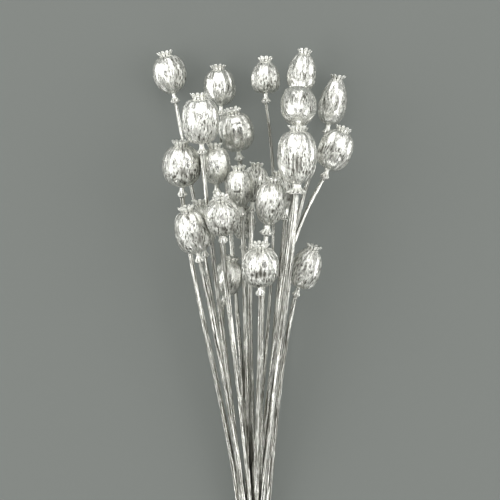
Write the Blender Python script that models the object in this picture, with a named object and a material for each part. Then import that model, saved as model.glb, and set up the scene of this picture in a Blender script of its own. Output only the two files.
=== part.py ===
"""A bunch of dried poppy seed heads, sprayed silver, tied with twine and laid down on a surface.

The bunch lies along Y, with the heads towards +Y and the cut ends towards -Y. Each seed head grew in one
piece with its stem, so it is one closed body, lofted ring by ring from the cut end to the crown.
Lengths are in millimetres until a mesh is made, which is in metres.
"""

import math

import bmesh
import bpy
import numpy as np

MM = 0.001

# Every seed head: its name, the middle of its capsule (across and along from the tie, high above the
# surface), the capsule's width and length, how far its axis leans to the right and lifts from the surface
# in degrees, the shape of its capsule, the number of its rays and the radius of the knob under its neck.
HEADS = (
    ("seed_head_01", (-77, 421, 13.8), 29, 34, -12, 0, "tapered", 10, 4.4),
    ("seed_head_02", (-31, 409, 14), 29, 32, -4, 0, "round", 10, 4.2),
    ("seed_head_03", (-47, 374, 79), 33, 39, -3, 5, "barrel", 11, 4.6),
    ("seed_head_04", (-16, 367, 34), 32, 34, -8, 18, "round", 11, 4.4),
    ("seed_head_05", (-64.5, 335, 60), 34, 36, -1, 12, "round", 12, 4.6),
    ("seed_head_06", (-34, 335, 60), 26, 32, -3, 8, "tapered", 9, 4.2),
    ("seed_head_07", (11, 417, 30), 26, 28, -1, -4, "conical", 9, 4.2),
    ("seed_head_08", (44, 422, 28), 26, 33, 8, -4, "conical", 9, 4.2),
    ("seed_head_09", (40, 388.5, 62), 31, 34, 0, -32, "barrel", 10, 4.4),
    ("seed_head_10", (73, 396, 12.4), 26, 41, 11, 0, "long", 9, 4.4),
    ("seed_head_11", (38, 341, 101), 33, 45, 0, 4, "barrel", 12, 8.6),
    ("seed_head_12", (73, 349, 61), 30, 35, 22, -6, "round", 11, 4.4),
    ("seed_head_13", (15, 301, 82), 27, 37, 8, 8, "tapered", 10, 6.6),
    ("seed_head_14", (1, 319, 48), 23, 31, 6, 0, "tapered", 9, 4.0),
    ("seed_head_15", (-12, 315, 70), 24, 32, -4, 10, "tapered", 9, 4.2),
    ("seed_head_16", (-47, 282, 41), 26, 38, -6, 0, "long", 9, 4.2),
    ("seed_head_17", (-54, 276, 80), 30, 38, -14, 18, "round", 11, 4.6),
    ("seed_head_18", (-28, 289, 92), 30, 32, -3, 32, "round", 10, 4.6),
    ("seed_head_19", (-23, 234, 27), 27, 32, 12, 8, "tapered", 9, 4.2),
    ("seed_head_20", (6, 245, 94), 33, 34, 0, 22, "round", 11, 4.6),
    ("seed_head_21", (47.5, 243.5, 37), 27, 36, 20, 10, "conical", 10, 3.8),
    ("seed_head_22", (-10, 285, 35.5), 23, 30, -2, 0, "tapered", 9, 4.0),
    ("seed_head_23", (41, 349, 48), 30, 34, 3, -8, "round", 10, 4.4),
    ("seed_head_24", (25, 312, 45), 23, 31, -8, 0, "tapered", 9, 4.0),
)

# A capsule's shape: how far up its widest place is, the power of its lower curve, the powers that fill out
# and round off its shoulders, and the radius of its foot as a share of its half width.
SHAPES = {
    "round": (0.47, 2.1, 2.4, 2.0, 0.24),
    "tapered": (0.52, 1.8, 2.3, 1.9, 0.20),
    "barrel": (0.50, 2.2, 2.6, 2.0, 0.26),
    "conical": (0.38, 2.4, 2.7, 1.1, 0.30),
    "long": (0.42, 2.0, 2.1, 1.1, 0.24),
}
RIB = 0.025
LOPSIDED = 0.015
CAPSULE_STATIONS = (0.0, 0.07, 0.22, 0.45, 0.72, 0.91, 1.0)

# The neck and the knob below a capsule: how far below its foot, and the radius as a share of the knob's.
KNOB = ((9.0, 0.84), (8.1, 1.0), (5.8, 0.66), (4.2, 0.50), (1.6, 0.45))
NECK_LENGTH = 9.4
KNOB_SIDES = 8

# The crown over a capsule of the usual width: the radius of its neck, the height and share of the waist
# over that, the radius and the height of its lobes' ends above the capsule's top, how thick its edge is
# and how far in its underside is. Notches, bowl and middle are shares of the lobes' reach and height.
USUAL_WIDTH = 30.0
CROWN_NECK = 5.8
CROWN_WAIST = (1.0, 0.94)
CROWN_RADIUS = 8.3
CROWN_HEIGHT = 6.0
CROWN_EDGE = 1.0
UNDERSIDE = 0.97
NOTCH_RADIUS = 0.74
NOTCH_HEIGHT = 0.62
BOWL_RADIUS = 0.50
BOWL_HEIGHT = 0.46
CENTRE_HEIGHT = 0.54

# Stems that bend more than the rest: their lean to the right above the tie and under the knob, in degrees.
BENT_STEMS = {"seed_head_07": (1, -9), "seed_head_10": (9, 25), "seed_head_12": (8, 32)}

# The stems, drawn together in rows at the tie.
ROWS = (4, 5, 6, 5, 4)
STEM_PITCH = 5.2
STEM_RADIUS = 2.3
STEM_TOP_RADIUS = 1.9
STEM_SIDES = 6
STEM_STEPS = 6
LEAVE_SHARE = 0.75
ARRIVE_SHARE = 0.45
STRAIGHT_HALF = 8.0
BEND_HALF = 14.0
CUT_FROM_TIE = 62.0
CUT_VARIES = 9.0
CUT_SPREAD = 0.45

# The tie, a few turns of twine wound tight round the stems.
TIE_ACROSS = 2.0
TIE_ALONG = -187.0
TWINE = 2.6
TURNS = 4
TIE_GAP = 0.35
FLATTENED = 0.2
TIE_STEPS = 24
GOLDEN_ANGLE = 2.39996

# A strand of the tie cut across: its groove and the ends of its flat back, as shares of its width.
STRAND_GROOVE = 0.55
STRAND_BACK = (0.25, 0.75)

SILVER = (0.78, 0.78, 0.76)
JUTE = (0.42, 0.30, 0.17)
SHARP_ANGLE = 40


def unit(vector):
    return vector / np.linalg.norm(vector)


def axis_of(head):
    """The direction of a head, from its stem to its crown."""
    lean, lift = math.radians(head[4]), math.radians(head[5])
    return np.array([math.sin(lean) * math.cos(lift), math.cos(lean) * math.cos(lift), math.sin(lift)])


def tie_height():
    """The height of the bundle's middle row, with the twine resting on the surface and a little flattened."""
    rows_down = (len(ROWS) - 1) / 2 * STEM_PITCH * math.sqrt(0.75)
    return rows_down + STEM_RADIUS + TIE_GAP + TWINE - FLATTENED


def slots():
    """The stems' places at the tie, in close-packed rows."""
    places = []
    for row, count in enumerate(ROWS):
        high = tie_height() + (row - (len(ROWS) - 1) / 2) * STEM_PITCH * math.sqrt(0.75)
        for place in range(count):
            places.append(np.array([(place - (count - 1) / 2) * STEM_PITCH, 0.0, high]))
    return places


def bend_middle(slot):
    return slot + np.array([0.0, STRAIGHT_HALF + BEND_HALF, 0.0])


def stem_slope(head, slot):
    """How far the stem goes sideways and up for each millimetre along, from its bend to its knob."""
    away = neck_foot(head) - bend_middle(slot)
    return away / away[1]


def neck_foot(head):
    return np.array(head[1], float) - axis_of(head) * (head[3] / 2 + NECK_LENGTH)


def slot_of_each():
    """Stems are swapped until each slot lies as its head does, and so no two stems cross."""
    places = slots()
    middle = np.array([0.0, 0.0, tie_height()])
    slopes = [stem_slope(head, middle) for head in HEADS]
    order = list(range(len(HEADS)))
    changed = True
    while changed:
        changed = False
        for first in range(len(order)):
            for second in range(first + 1, len(order)):
                between = places[order[first]] - places[order[second]]
                if np.dot(between, slopes[first] - slopes[second]) < -1e-9:
                    order[first], order[second] = order[second], order[first]
                    changed = True
    return [places[number] for number in order]


def tail_point(slot, number, share):
    """A point of the stem's tail, from the cut end at share 0 to the tie's lower edge at share 1."""
    length = CUT_FROM_TIE + CUT_VARIES * math.sin(GOLDEN_ANGLE * number) - STRAIGHT_HALF
    below = length * (1 - share)
    spread = CUT_SPREAD * below / CUT_FROM_TIE
    lowest = slots()[0][2]
    return np.array([slot[0] * (1 + spread), -STRAIGHT_HALF - below, slot[2] + (slot[2] - lowest) * spread])


def bend_point(slot, slope, share):
    """Above the tie each stem turns from the bundle's line to its own, in an arc."""
    beyond = 2 * BEND_HALF * share
    return slot + slope * beyond**2 / (4 * BEND_HALF) + np.array([0.0, STRAIGHT_HALF + beyond, 0.0])


def directions_of(head, slot):
    """The stem's directions above its bend and under its knob, each going one millimetre along."""
    mean = stem_slope(head, slot)
    axis = axis_of(head)
    leave = mean * LEAVE_SHARE
    arrive = mean * (1 - ARRIVE_SHARE) + axis / axis[1] * ARRIVE_SHARE
    if head[0] in BENT_STEMS:
        leave[0], arrive[0] = (math.tan(math.radians(lean)) for lean in BENT_STEMS[head[0]])
    leave[1] = arrive[1] = 1.0
    return leave, arrive


def stem_path(head, slot, number, tail_shares, bend_shares, reach_shares):
    """Points from the cut end through the tie and its bend up to the knob, each with its radius."""
    leave, arrive = directions_of(head, slot)
    slope = leave * np.array([1.0, 0.0, 1.0])
    points = [tail_point(slot, number, share) for share in tail_shares]
    points += [bend_point(slot, slope, share) for share in bend_shares]
    radii = [STEM_RADIUS] * len(points)
    start, end = bend_point(slot, slope, 1.0), neck_foot(head)
    along = end[1] - start[1]
    for u in reach_shares:
        keep_start, keep_end = 2 * u**3 - 3 * u**2 + 1, 3 * u**2 - 2 * u**3
        out, back = (u**3 - 2 * u**2 + u) * along, (u**3 - u**2) * along
        points.append(start * keep_start + leave * out + end * keep_end + arrive * back)
        radii.append(STEM_RADIUS + (STEM_TOP_RADIUS - STEM_RADIUS) * u)
    return points, radii


def crown_size(head):
    """A wide capsule has a larger crown."""
    return math.sqrt(head[2] / USUAL_WIDTH)


def capsule_radius(head, share):
    """The capsule's radius, from its foot at share 0 to the crown's neck at share 1."""
    belly, low_power, fullness, roundness, foot = SHAPES[head[6]]
    widest = head[2] / 2
    if share < belly:
        rise = (1 - (1 - share / belly) ** low_power) ** (1 / low_power)
        return widest * (foot + (1 - foot) * rise)
    neck = CROWN_NECK * crown_size(head)
    shoulder = (1 - ((share - belly) / (1 - belly)) ** fullness) ** (1 / roundness)
    return neck + (widest - neck) * shoulder


def lopsided(number, angle):
    """No capsule is quite round: a share of its radius, by the angle round it."""
    turn = GOLDEN_ANGLE * number
    return 1 + LOPSIDED * np.cos(2 * angle + turn) + LOPSIDED * np.cos(3 * angle - 2 * turn)


def ring(centre, direction, radii, start=0.0):
    """Points round a centre, in the plane across a direction, from the right or from an angle past it."""
    right = unit(np.cross(direction, (0.0, 0.0, 1.0)))
    over = np.cross(right, direction)
    angles = start + np.arange(len(radii)) * 2 * math.pi / len(radii)
    radii = np.asarray(radii)[:, None]
    return centre + radii * (np.cos(angles)[:, None] * right + np.sin(angles)[:, None] * over)


def head_rings(head, slot, number):
    """All the rings of one seed head, from the cut end of its stem to the middle of its crown."""
    reach = np.arange(STEM_STEPS + 1) / STEM_STEPS
    points, radii = stem_path(head, slot, number, (0.0, 1.0), (0.0, 0.5), reach)
    directions = [unit(after - before) for before, after in zip(points, points[1:])]
    directions.append(axis_of(head))
    rings = []
    for place, (point, radius) in enumerate(zip(points, radii)):
        direction = unit(directions[max(place - 1, 0)] + directions[place])
        rings.append(ring(point, direction, [radius] * STEM_SIDES))

    axis, middle, half = axis_of(head), np.array(head[1], float), head[3] / 2
    for below, share in KNOB:
        rings.append(ring(middle - axis * (half + below), axis, [head[8] * share] * KNOB_SIDES))

    sides = 2 * head[7]
    angles = np.arange(sides) * 2 * math.pi / sides
    crest = np.cos(angles * head[7])
    for share in CAPSULE_STATIONS:
        round_it = capsule_radius(head, share) * lopsided(number, angles) * (1 + RIB * crest)
        rings.append(ring(middle + axis * half * (2 * share - 1), axis, round_it))

    return rings + crown_rings(head)


def crown_rings(head):
    """The crown's rings, from its waist to its middle. Each lobe has two ends, with a notch after them."""
    axis, rays, size = axis_of(head), head[7], crown_size(head)
    top = np.array(head[1], float) + axis * head[3] / 2
    radius, height = CROWN_RADIUS * size, CROWN_HEIGHT * size
    reach_out = np.tile([1.0, 1.0, NOTCH_RADIUS], rays) * radius
    rise = np.tile([1.0, 1.0, NOTCH_HEIGHT], rays)[:, None] * height * axis
    first_end = -math.pi / len(reach_out)
    waist_height, waist_share = CROWN_WAIST
    return [
        ring(top + axis * waist_height, axis, [CROWN_NECK * size * waist_share] * 2 * rays),
        ring(top - axis * CROWN_EDGE, axis, reach_out * UNDERSIDE, first_end) + rise,
        ring(top, axis, reach_out, first_end) + rise,
        ring(top + axis * height * BOWL_HEIGHT, axis, [radius * BOWL_RADIUS] * rays),
        top[None, :] + axis * height * CENTRE_HEIGHT,
    ]


def bridge(mesh, low, high):
    """Faces between two rings of points, also where their counts differ or the upper is one point."""
    if len(low) == len(high):
        for place in range(len(low)):
            after = (place + 1) % len(low)
            mesh.faces.new((low[place], high[place], high[after], low[after]))
        return
    done_low = done_high = 0
    steps_high = len(high) if len(high) > 1 else 0
    while done_low < len(low) or done_high < steps_high:
        here, over = low[done_low % len(low)], high[done_high % len(high)]
        low_is_behind = done_low < len(low) and (done_low + 1) * len(high) <= (done_high + 1) * len(low)
        if low_is_behind or done_high >= steps_high:
            done_low += 1
            mesh.faces.new((here, over, low[done_low % len(low)]))
        else:
            done_high += 1
            mesh.faces.new((here, over, high[done_high % len(high)]))


def put_in_place(points):
    """From the tie's own frame in millimetres to the part's in metres, lying on the surface."""
    placed = np.array(points, float) + np.array([TIE_ACROSS, TIE_ALONG, 0.0])
    placed[:, 2] = np.maximum(placed[:, 2], 0.0)
    return placed * MM


def material(name, colour, metallic, roughness):
    made = bpy.data.materials.new(name)
    made.use_nodes = True
    shader = made.node_tree.nodes["Principled BSDF"]
    shader.inputs["Base Color"].default_value = (*colour, 1.0)
    shader.inputs["Metallic"].default_value = metallic
    shader.inputs["Roughness"].default_value = roughness
    return made


def object_from(mesh, name, collection, looks):
    bmesh.ops.triangulate(mesh, faces=mesh.faces[:])
    data = bpy.data.meshes.new(name)
    mesh.to_mesh(data)
    mesh.free()
    data.materials.append(looks)
    data.shade_smooth()
    data.set_sharp_from_angle(angle=math.radians(SHARP_ANGLE))
    made = bpy.data.objects.new(name, data)
    collection.objects.link(made)
    return made


def make_seed_head(head, slot, number, collection):
    mesh = bmesh.new()
    rings = []
    for points in head_rings(head, slot, number):
        rings.append([mesh.verts.new(point) for point in put_in_place(points)])
    mesh.faces.new(rings[0])
    for low, high in zip(rings, rings[1:]):
        bridge(mesh, low, high)
    object_from(mesh, head[0], collection, material(head[0], SILVER, 0.95, 0.35))


def tie_section():
    """The tie cut across: pairs of how far out of the stems and how far along, in order round it."""
    width = TWINE * TURNS
    section = [(TIE_GAP, width / 2), (TIE_GAP, -width / 2)]
    groove = TIE_GAP + TWINE * STRAND_GROOVE
    for turn in range(TURNS):
        start = turn * TWINE - width / 2
        section.append((groove, start))
        section += [(TIE_GAP + TWINE, start + TWINE * end) for end in STRAND_BACK]
    section.append((groove, width / 2))
    return section


def make_tie(collection):
    """The twine follows the outline of the bundle: round the outer stems and straight between them."""
    mesh = bmesh.new()
    places = slots()
    loops = []
    for step in range(TIE_STEPS):
        turn = 2 * math.pi * step / TIE_STEPS
        outward = np.array([math.cos(turn), 0.0, math.sin(turn)])
        corner = max(places, key=lambda place: np.dot(place, outward))
        points = []
        for out, along in tie_section():
            points.append(corner + outward * (STEM_RADIUS + out) + np.array([0.0, along, 0.0]))
        loops.append([mesh.verts.new(point) for point in put_in_place(points)])
    for here, after in zip(loops, loops[1:] + loops[:1]):
        for place in range(len(here)):
            following = (place + 1) % len(here)
            mesh.faces.new((here[place], here[following], after[following], after[place]))
    object_from(mesh, "twine_tie", collection, material("twine_tie", JUTE, 0.0, 0.9))


def main():
    for leftover in list(bpy.data.objects):
        bpy.data.objects.remove(leftover, do_unlink=True)
    collection = bpy.data.collections.new("bunch_of_poppy_seed_heads")
    bpy.context.scene.collection.children.link(collection)
    for number, (head, slot) in enumerate(zip(HEADS, slot_of_each())):
        make_seed_head(head, slot, number, collection)
    make_tie(collection)


main()
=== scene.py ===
"""The looks of a bunch of dried poppy seed heads, sprayed silver, tied with twine and laid down.

Lengths are in millimetres, in a frame with its origin under the middle of the tie, until a mesh is made.
"""

import math

import bpy
import numpy as np
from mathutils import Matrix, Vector


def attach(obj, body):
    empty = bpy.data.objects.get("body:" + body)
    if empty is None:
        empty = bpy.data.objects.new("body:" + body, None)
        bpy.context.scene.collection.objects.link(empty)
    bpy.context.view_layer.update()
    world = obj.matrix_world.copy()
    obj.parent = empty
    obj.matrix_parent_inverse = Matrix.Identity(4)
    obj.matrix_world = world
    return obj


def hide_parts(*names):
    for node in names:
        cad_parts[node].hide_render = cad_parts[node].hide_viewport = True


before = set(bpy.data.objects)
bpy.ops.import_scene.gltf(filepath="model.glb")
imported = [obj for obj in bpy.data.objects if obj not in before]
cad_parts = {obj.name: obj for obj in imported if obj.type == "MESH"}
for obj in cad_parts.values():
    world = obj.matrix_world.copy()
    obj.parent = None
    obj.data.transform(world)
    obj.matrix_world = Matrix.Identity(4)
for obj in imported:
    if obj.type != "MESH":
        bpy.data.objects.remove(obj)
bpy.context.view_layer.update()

MM = 0.001

# Every seed head: its name, the middle of its capsule (across and along from the tie, high above the
# surface), the capsule's width and length, how far its axis leans to the right and lifts from the surface
# in degrees, the shape of its capsule, the number of its rays and the radius of the knob under its neck.
HEADS = (
    ("seed_head_01", (-77, 421, 13.8), 29, 34, -12, 0, "tapered", 10, 4.4),
    ("seed_head_02", (-31, 409, 14), 29, 32, -4, 0, "round", 10, 4.2),
    ("seed_head_03", (-47, 374, 79), 33, 39, -3, 5, "barrel", 11, 4.6),
    ("seed_head_04", (-16, 367, 34), 32, 34, -8, 18, "round", 11, 4.4),
    ("seed_head_05", (-64.5, 335, 60), 34, 36, -1, 12, "round", 12, 4.6),
    ("seed_head_06", (-34, 335, 60), 26, 32, -3, 8, "tapered", 9, 4.2),
    ("seed_head_07", (11, 417, 30), 26, 28, -1, -4, "conical", 9, 4.2),
    ("seed_head_08", (44, 422, 28), 26, 33, 8, -4, "conical", 9, 4.2),
    ("seed_head_09", (40, 388.5, 62), 31, 34, 0, -32, "barrel", 10, 4.4),
    ("seed_head_10", (73, 396, 12.4), 26, 41, 11, 0, "long", 9, 4.4),
    ("seed_head_11", (38, 341, 101), 33, 45, 0, 4, "barrel", 12, 8.6),
    ("seed_head_12", (73, 349, 61), 30, 35, 22, -6, "round", 11, 4.4),
    ("seed_head_13", (15, 301, 82), 27, 37, 8, 8, "tapered", 10, 6.6),
    ("seed_head_14", (1, 319, 48), 23, 31, 6, 0, "tapered", 9, 4.0),
    ("seed_head_15", (-12, 315, 70), 24, 32, -4, 10, "tapered", 9, 4.2),
    ("seed_head_16", (-47, 282, 41), 26, 38, -6, 0, "long", 9, 4.2),
    ("seed_head_17", (-54, 276, 80), 30, 38, -14, 18, "round", 11, 4.6),
    ("seed_head_18", (-28, 289, 92), 30, 32, -3, 32, "round", 10, 4.6),
    ("seed_head_19", (-23, 234, 27), 27, 32, 12, 8, "tapered", 9, 4.2),
    ("seed_head_20", (6, 245, 94), 33, 34, 0, 22, "round", 11, 4.6),
    ("seed_head_21", (47.5, 243.5, 37), 27, 36, 20, 10, "conical", 10, 3.8),
    ("seed_head_22", (-10, 285, 35.5), 23, 30, -2, 0, "tapered", 9, 4.0),
    ("seed_head_23", (41, 349, 48), 30, 34, 3, -8, "round", 10, 4.4),
    ("seed_head_24", (25, 312, 45), 23, 31, -8, 0, "tapered", 9, 4.0),
)

# A capsule's shape: how far up its widest place is, the power of its lower curve, the powers that fill out
# and round off its shoulders, and the radius of its foot as a share of its half width.
SHAPES = {
    "round": (0.47, 2.1, 2.4, 2.0, 0.24),
    "tapered": (0.52, 1.8, 2.3, 1.9, 0.20),
    "barrel": (0.50, 2.2, 2.6, 2.0, 0.26),
    "conical": (0.38, 2.4, 2.7, 1.1, 0.30),
    "long": (0.42, 2.0, 2.1, 1.1, 0.24),
}

# How high a capsule's ribs are and how far it is out of round, as shares of its radius.
RIB = 0.025
LOPSIDED = 0.015

# Dents that a capsule got in drying: the middle's angle round it (90 degrees faces up) and share of its
# length, the half width in degrees and in share of length, and the depth in millimetres.
DENTS = {
    "seed_head_03": ((92, 0.24, 16, 0.09, 0.5), (104, 0.62, 7, 0.05, 0.4)),
    "seed_head_04": ((82, 0.40, 16, 0.11, 1.0), (72, 0.80, 30, 0.035, 0.8), (38, 0.58, 12, 0.04, 0.6)),
    "seed_head_05": ((86, 0.42, 15, 0.12, 0.9),),
    "seed_head_06": ((84, 0.45, 5, 0.16, 0.7),),
    "seed_head_09": ((84, 0.40, 14, 0.17, 0.7),),
    "seed_head_10": ((120, 0.38, 24, 0.16, 0.8), (92, 0.62, 18, 0.05, 0.6), (68, 0.52, 3.5, 0.17, 0.9)),
    "seed_head_11": (
        (91, 0.38, 4.5, 0.22, 1.6),
        (104, 0.32, 3.5, 0.19, 1.2),
        (80, 0.37, 3.5, 0.17, 1.3),
        (119, 0.42, 3.0, 0.12, 0.8),
        (64, 0.38, 3.0, 0.15, 0.9),
    ),
    "seed_head_12": ((104, 0.46, 18, 0.13, 0.9), (62, 0.40, 5, 0.10, 0.7)),
    "seed_head_13": ((88, 0.58, 8, 0.06, 0.7), (80, 0.36, 16, 0.07, 0.7)),
    "seed_head_15": ((100, 0.44, 22, 0.025, 0.8),),
    "seed_head_17": ((92, 0.52, 12, 0.10, 0.8), (66, 0.46, 5, 0.14, 0.7)),
    "seed_head_18": ((112, 0.45, 12, 0.05, 0.5), (84, 0.36, 12, 0.10, 0.8)),
    "seed_head_19": ((94, 0.45, 6, 0.18, 0.6),),
    "seed_head_20": (
        (89, 0.49, 6, 0.12, 1.2),
        (102, 0.45, 5, 0.11, 1.1),
        (77, 0.46, 5, 0.09, 1.0),
        (118, 0.44, 8, 0.04, 0.8),
        (62, 0.46, 8, 0.04, 0.7),
    ),
    "seed_head_21": ((96, 0.50, 4, 0.15, 0.7), (74, 0.44, 4, 0.12, 0.6)),
}

# Capsules with more broken metal and darker painted shade in their hollows than the rest, or with less of
# both where the value is below 0.
WEAR_AND_SHADE = {
    "seed_head_02": -0.25,
    "seed_head_04": -0.7,
    "seed_head_05": 0.15,
    "seed_head_06": -0.7,
    "seed_head_08": -0.15,
    "seed_head_09": -0.4,
    "seed_head_10": -0.25,
    "seed_head_13": 0.2,
    "seed_head_14": 0.2,
    "seed_head_18": 0.08,
    "seed_head_19": -0.55,
    "seed_head_20": 0.25,
    "seed_head_21": 0.18,
}

# A capsule's skin, in millimetres: its broad swells and its finer ripples (how high, how many to a ray and
# how many along it), how high and sharp the seam over each ray is, and its wrinkles: how deep and wide, how
# many more than two to a ray, how many along it, and in how many cells they get deeper. Round its belly the
# swells and seams have only this share, and all of it fades out over a twelfth of the length at each end.
SWELL = (0.16, 2, 3)
CAPSULE_RIPPLES = ((0.15, 4, 7), (0.07, 6, 20))
SEAM = 0.20
SEAM_SHARPNESS = 16
WRINKLE = 0.42
WRINKLE_WIDTH = 0.22
WRINKLES_MORE = 3
WRINKLES_ALONG = 3
WRINKLE_DEEPER = (7, 4)
BELLY_RELIEF = 0.55
SWELL_FADE = 12

# Each capsule's own small dents, drawn at random: how many, and the lowest and the highest of each value,
# in the order of the dents above.
SMALL_DENTS = 5
SMALL_DENT_SPANS = ((0, 360), (0.22, 0.72), (5, 14), (0.09, 0.18), (0.3, 0.7))

# How wrinkled a capsule's metal is: everywhere, more in a belt below the middle, uneven in so many cells
# round and along, and more about a dent, so many degrees and such a share of the length past it. On stems,
# knobs and crowns it has the mean.
WRINKLED = 0.30
WRINKLED_BELT = 0.45
BELT_PLACE = 0.36
BELT_WIDTH = 0.20
WRINKLED_VARIES = 0.25
PATCH_CELLS = (6, 3)
WRINKLED_DENT = 0.4
ABOUT_DENT = (8, 0.05)
MEAN_WRINKLED = 0.5
WRINKLED_LIMITS = (-1, 1.5)

# The shade painted in a capsule's hollows: how dark it is, from how deep on and at most, and how deep, sharp,
# high up and wide the small openings under its crown are, which get painted shade as well.
CAPSULE_SHADE = 1.2
CAPSULE_SHADE_FROM = 0.2
MOST_CAPSULE_SHADE = 0.8
PORE_DEPTH = 0.8
PORE_SHARPNESS = 3
PORE_ABOVE = 0.6
PORE_HEIGHT = 0.9

# The crown over a capsule of the usual width: the radius of its neck, the height and share of the waist over
# that, the radius, the height and the thickness of its lobes' ends, where its notches end and where its bowl
# begins, the bowl's height there and in the middle, how high and wide the rays on it are, and how round,
# narrow, long and high the lobes are.
USUAL_WIDTH = 30.0
CROWN_NECK = 5.8
CROWN_WAIST = (1.0, 0.94)
CROWN_RADIUS = 8.3
CROWN_HEIGHT = 6.0
CROWN_EDGE = 0.9
NOTCH_RADIUS = 0.63
BOWL_RADIUS = 0.50
BOWL_HEIGHT = 0.44
CENTRE_HEIGHT = 0.52
RAY_HEIGHT = 0.8
RAY_HALF_WIDTH = 0.42
LOBE_ROUNDNESS = 2.6
LOBE_NARROWING = 1.06
LOBE_REACH = (0.88, 1.0)
LOBE_LIFT = (0.78, 1.0)
LOBE_GAP_SHADE = 6
CROWN_PORE_DEPTH = 0.9

# A crown's underside flares out from its waist to near its edge, its lobes curl up round the bowl, and a ray
# lies along each, lower towards the middle. Shade is painted between the lobes and between the rays.
UNDER_REACH = 0.97
UNDER_FLARE = 1.3
UNDER_CURVE = 0.3
WAIST_SHADE = 0.3
EDGE_SHADE = 0.9
LOBE_CURL = 1.25
TOP_SHARES = (0.98, 0.04)
RAY_SHIFT = 0.10
RAY_ROUNDNESS = 0.6
RAY_DIP = 0.25
BOWL_SHADE = 0.9
BOWL_SHADE_FROM = 0.1

# The knob and the neck: how far below the capsule's foot, the radius as a share of the knob's, and how deep
# the knob's flutes are there. Its lower edge is scalloped.
KNOB = (
    (9.4, 0.46, 0.0),
    (9.3, 0.74, 0.0),
    (9.05, 0.86, 0.02),
    (8.8, 0.84, 0.04),
    (8.6, 0.70, 0.10),
    (8.35, 0.90, 0.22),
    (8.0, 1.00, 0.26),
    (7.4, 0.97, 0.27),
    (6.6, 0.84, 0.25),
    (5.7, 0.69, 0.20),
    (4.8, 0.57, 0.14),
    (3.9, 0.49, 0.09),
    (2.6, 0.45, 0.06),
    (1.4, 0.46, 0.05),
    (0.5, 0.55, 0.04),
)
KNOB_SCALLOP = 1.1
SCALLOP_GROOVE = 0.6
SCALLOP_VARIES = 0.25
SCALLOP_BELOW = 8.1
SCALLOP_WIDTH = 0.9
NECK_LENGTH = 9.4

# A knob's flutes: the fewest, how many more one has that is wider than this radius, their sharpness and
# depth, how uneven they are, and how dark the shade painted in them and in the groove over the collar below
# them is.
FEWEST_FLUTES = 6
WIDE_KNOB = 6
FLUTES_ON_WIDE = 3
FLUTE_SHARPNESS = 0.7
FLUTE_DEPTH = 1.5
FLUTE_VARIES = 0.3
FLUTE_CELLS_DOWN = 3
FLUTE_SHADE = 4.2
FLUTE_SHADE_SHARPNESS = 1.5
COLLAR_BELOW = 8.6
COLLAR_WIDTH = 0.2
COLLAR_SHADE = 0.8

# The hollow in a stem's cut end, from its middle out: the share of the radius, and how deep it is there.
CUT_END = ((0.30, 1.4), (0.52, 1.1), (0.62, 0.1), (0.94, 0.0))

# Stems that are more slender than the rest under their heads, and how fast they become so along them.
SLENDER = {"seed_head_01": 0.82, "seed_head_07": 0.74, "seed_head_12": 0.88, "seed_head_16": 0.85}
THINNING = 1.6

# Stems that bend more than the rest: their lean to the right above the tie and under the knob, in degrees.
BENT_STEMS = {"seed_head_07": (1, -9), "seed_head_10": (9, 25), "seed_head_12": (8, 32)}

# The stems, drawn together at the tie in rows that lie in each other's gaps: their radius there and under
# the knob, the share of its mean slope that a stem leaves with and the share of its head's own that it
# arrives with, half the length of its straight and of its bend, how far from the tie it is cut and how much
# that varies, and how far the cut ends spread.
ROWS = (4, 5, 6, 5, 4)
ROW_RISE = math.sqrt(0.75)
STEM_PITCH = 5.2
STEM_RADIUS = 2.3
STEM_TOP_RADIUS = 1.9
LEAVE_SHARE = 0.75
ARRIVE_SHARE = 0.45
STRAIGHT_HALF = 8.0
BEND_HALF = 14.0
CUT_FROM_TIE = 62.0
CUT_VARIES = 9.0
CUT_SPREAD = 0.45

# How many points a stem's tail, its bend and its reach to the knob have, and how often its line is smoothed.
TAIL_POINTS = 28
BEND_POINTS = 16
REACH_POINTS = 130
SMOOTHINGS = 6

# A stem's skin, in shares of its radius: its mean, its long ridges, its finer ripples (how high, how many
# round the stem and how many along it), and the scars of its leaves: how many, between which shares of its
# length, how long in millimetres, how high all round, and how high and wide the lump on one side.
STEM_MEAN = 0.96
STEM_RIDGES = 5
RIDGE_HEIGHT = 0.10
RIDGE_WANDER = 3.0
WANDER_CELLS = (2, 9)
STEM_RIPPLES = ((0.07, 9, 16), (0.03, 5, 70))
SCARS = 3
SCAR_BETWEEN = (0.2, 0.85)
SCAR_LENGTH = 2.2
SCAR_HEIGHT = 0.04
SCAR_LUMP = 0.12
SCAR_WIDTH = 0.7

# Where shade is painted on a stem: between its ridges, and where another stem is so near, but less so towards
# its cut end, where light falls in. The shade painted in the hollow in that end is darker where it is deeper.
RIDGE_SHADE = 16
RIDGE_SHADE_FROM = 0.7
CREVICE_REACH = 1.7
NEVER_NEAR = 1000.0
END_SHADE = 0.2
END_FADE = 9
CUT_SHADE = 0.5
MOST_CUT_SHADE = 0.6

# A turn that doesn't soon come round again, so that the cut ends and the capsules' forms vary.
GOLDEN_ANGLE = 2.39996

# The tie: its place from the middle of the part, its twine's thickness and turns, the gap that they leave
# round the stems, and how much its underside is flattened.
TIE_ACROSS = 2.0
TIE_ALONG = -187.0
TWINE = 2.6
TURNS = 4
TIE_GAP = 0.35
FLATTENED = 0.2

# The twine: how many plies it has and the length in which they turn once, how deep and round they are and how
# much shade is painted between them, its loose fibres, how far its turns reach along the stems on either
# side, where its ends are tucked in on top, and the length and depth of a tuck, how thin it gets and how far
# along it goes.
PLIES = 3
PLY_LAY = 9.0
PLY_DEPTH = 0.2
PLY_ROUNDNESS = 0.8
PLY_SHADE = 1.6
LOOSE_FIBRES = 0.03
LOOSE_CELLS = (3, 90)
TWINE_REACH = 3.9
TUCK_ACROSS = 5.2
TUCK_LENGTH = 6.0
TUCK_DEPTH = 1.4
TUCK_THINS = 0.35
TUCK_ALONG = 2.0

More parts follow.
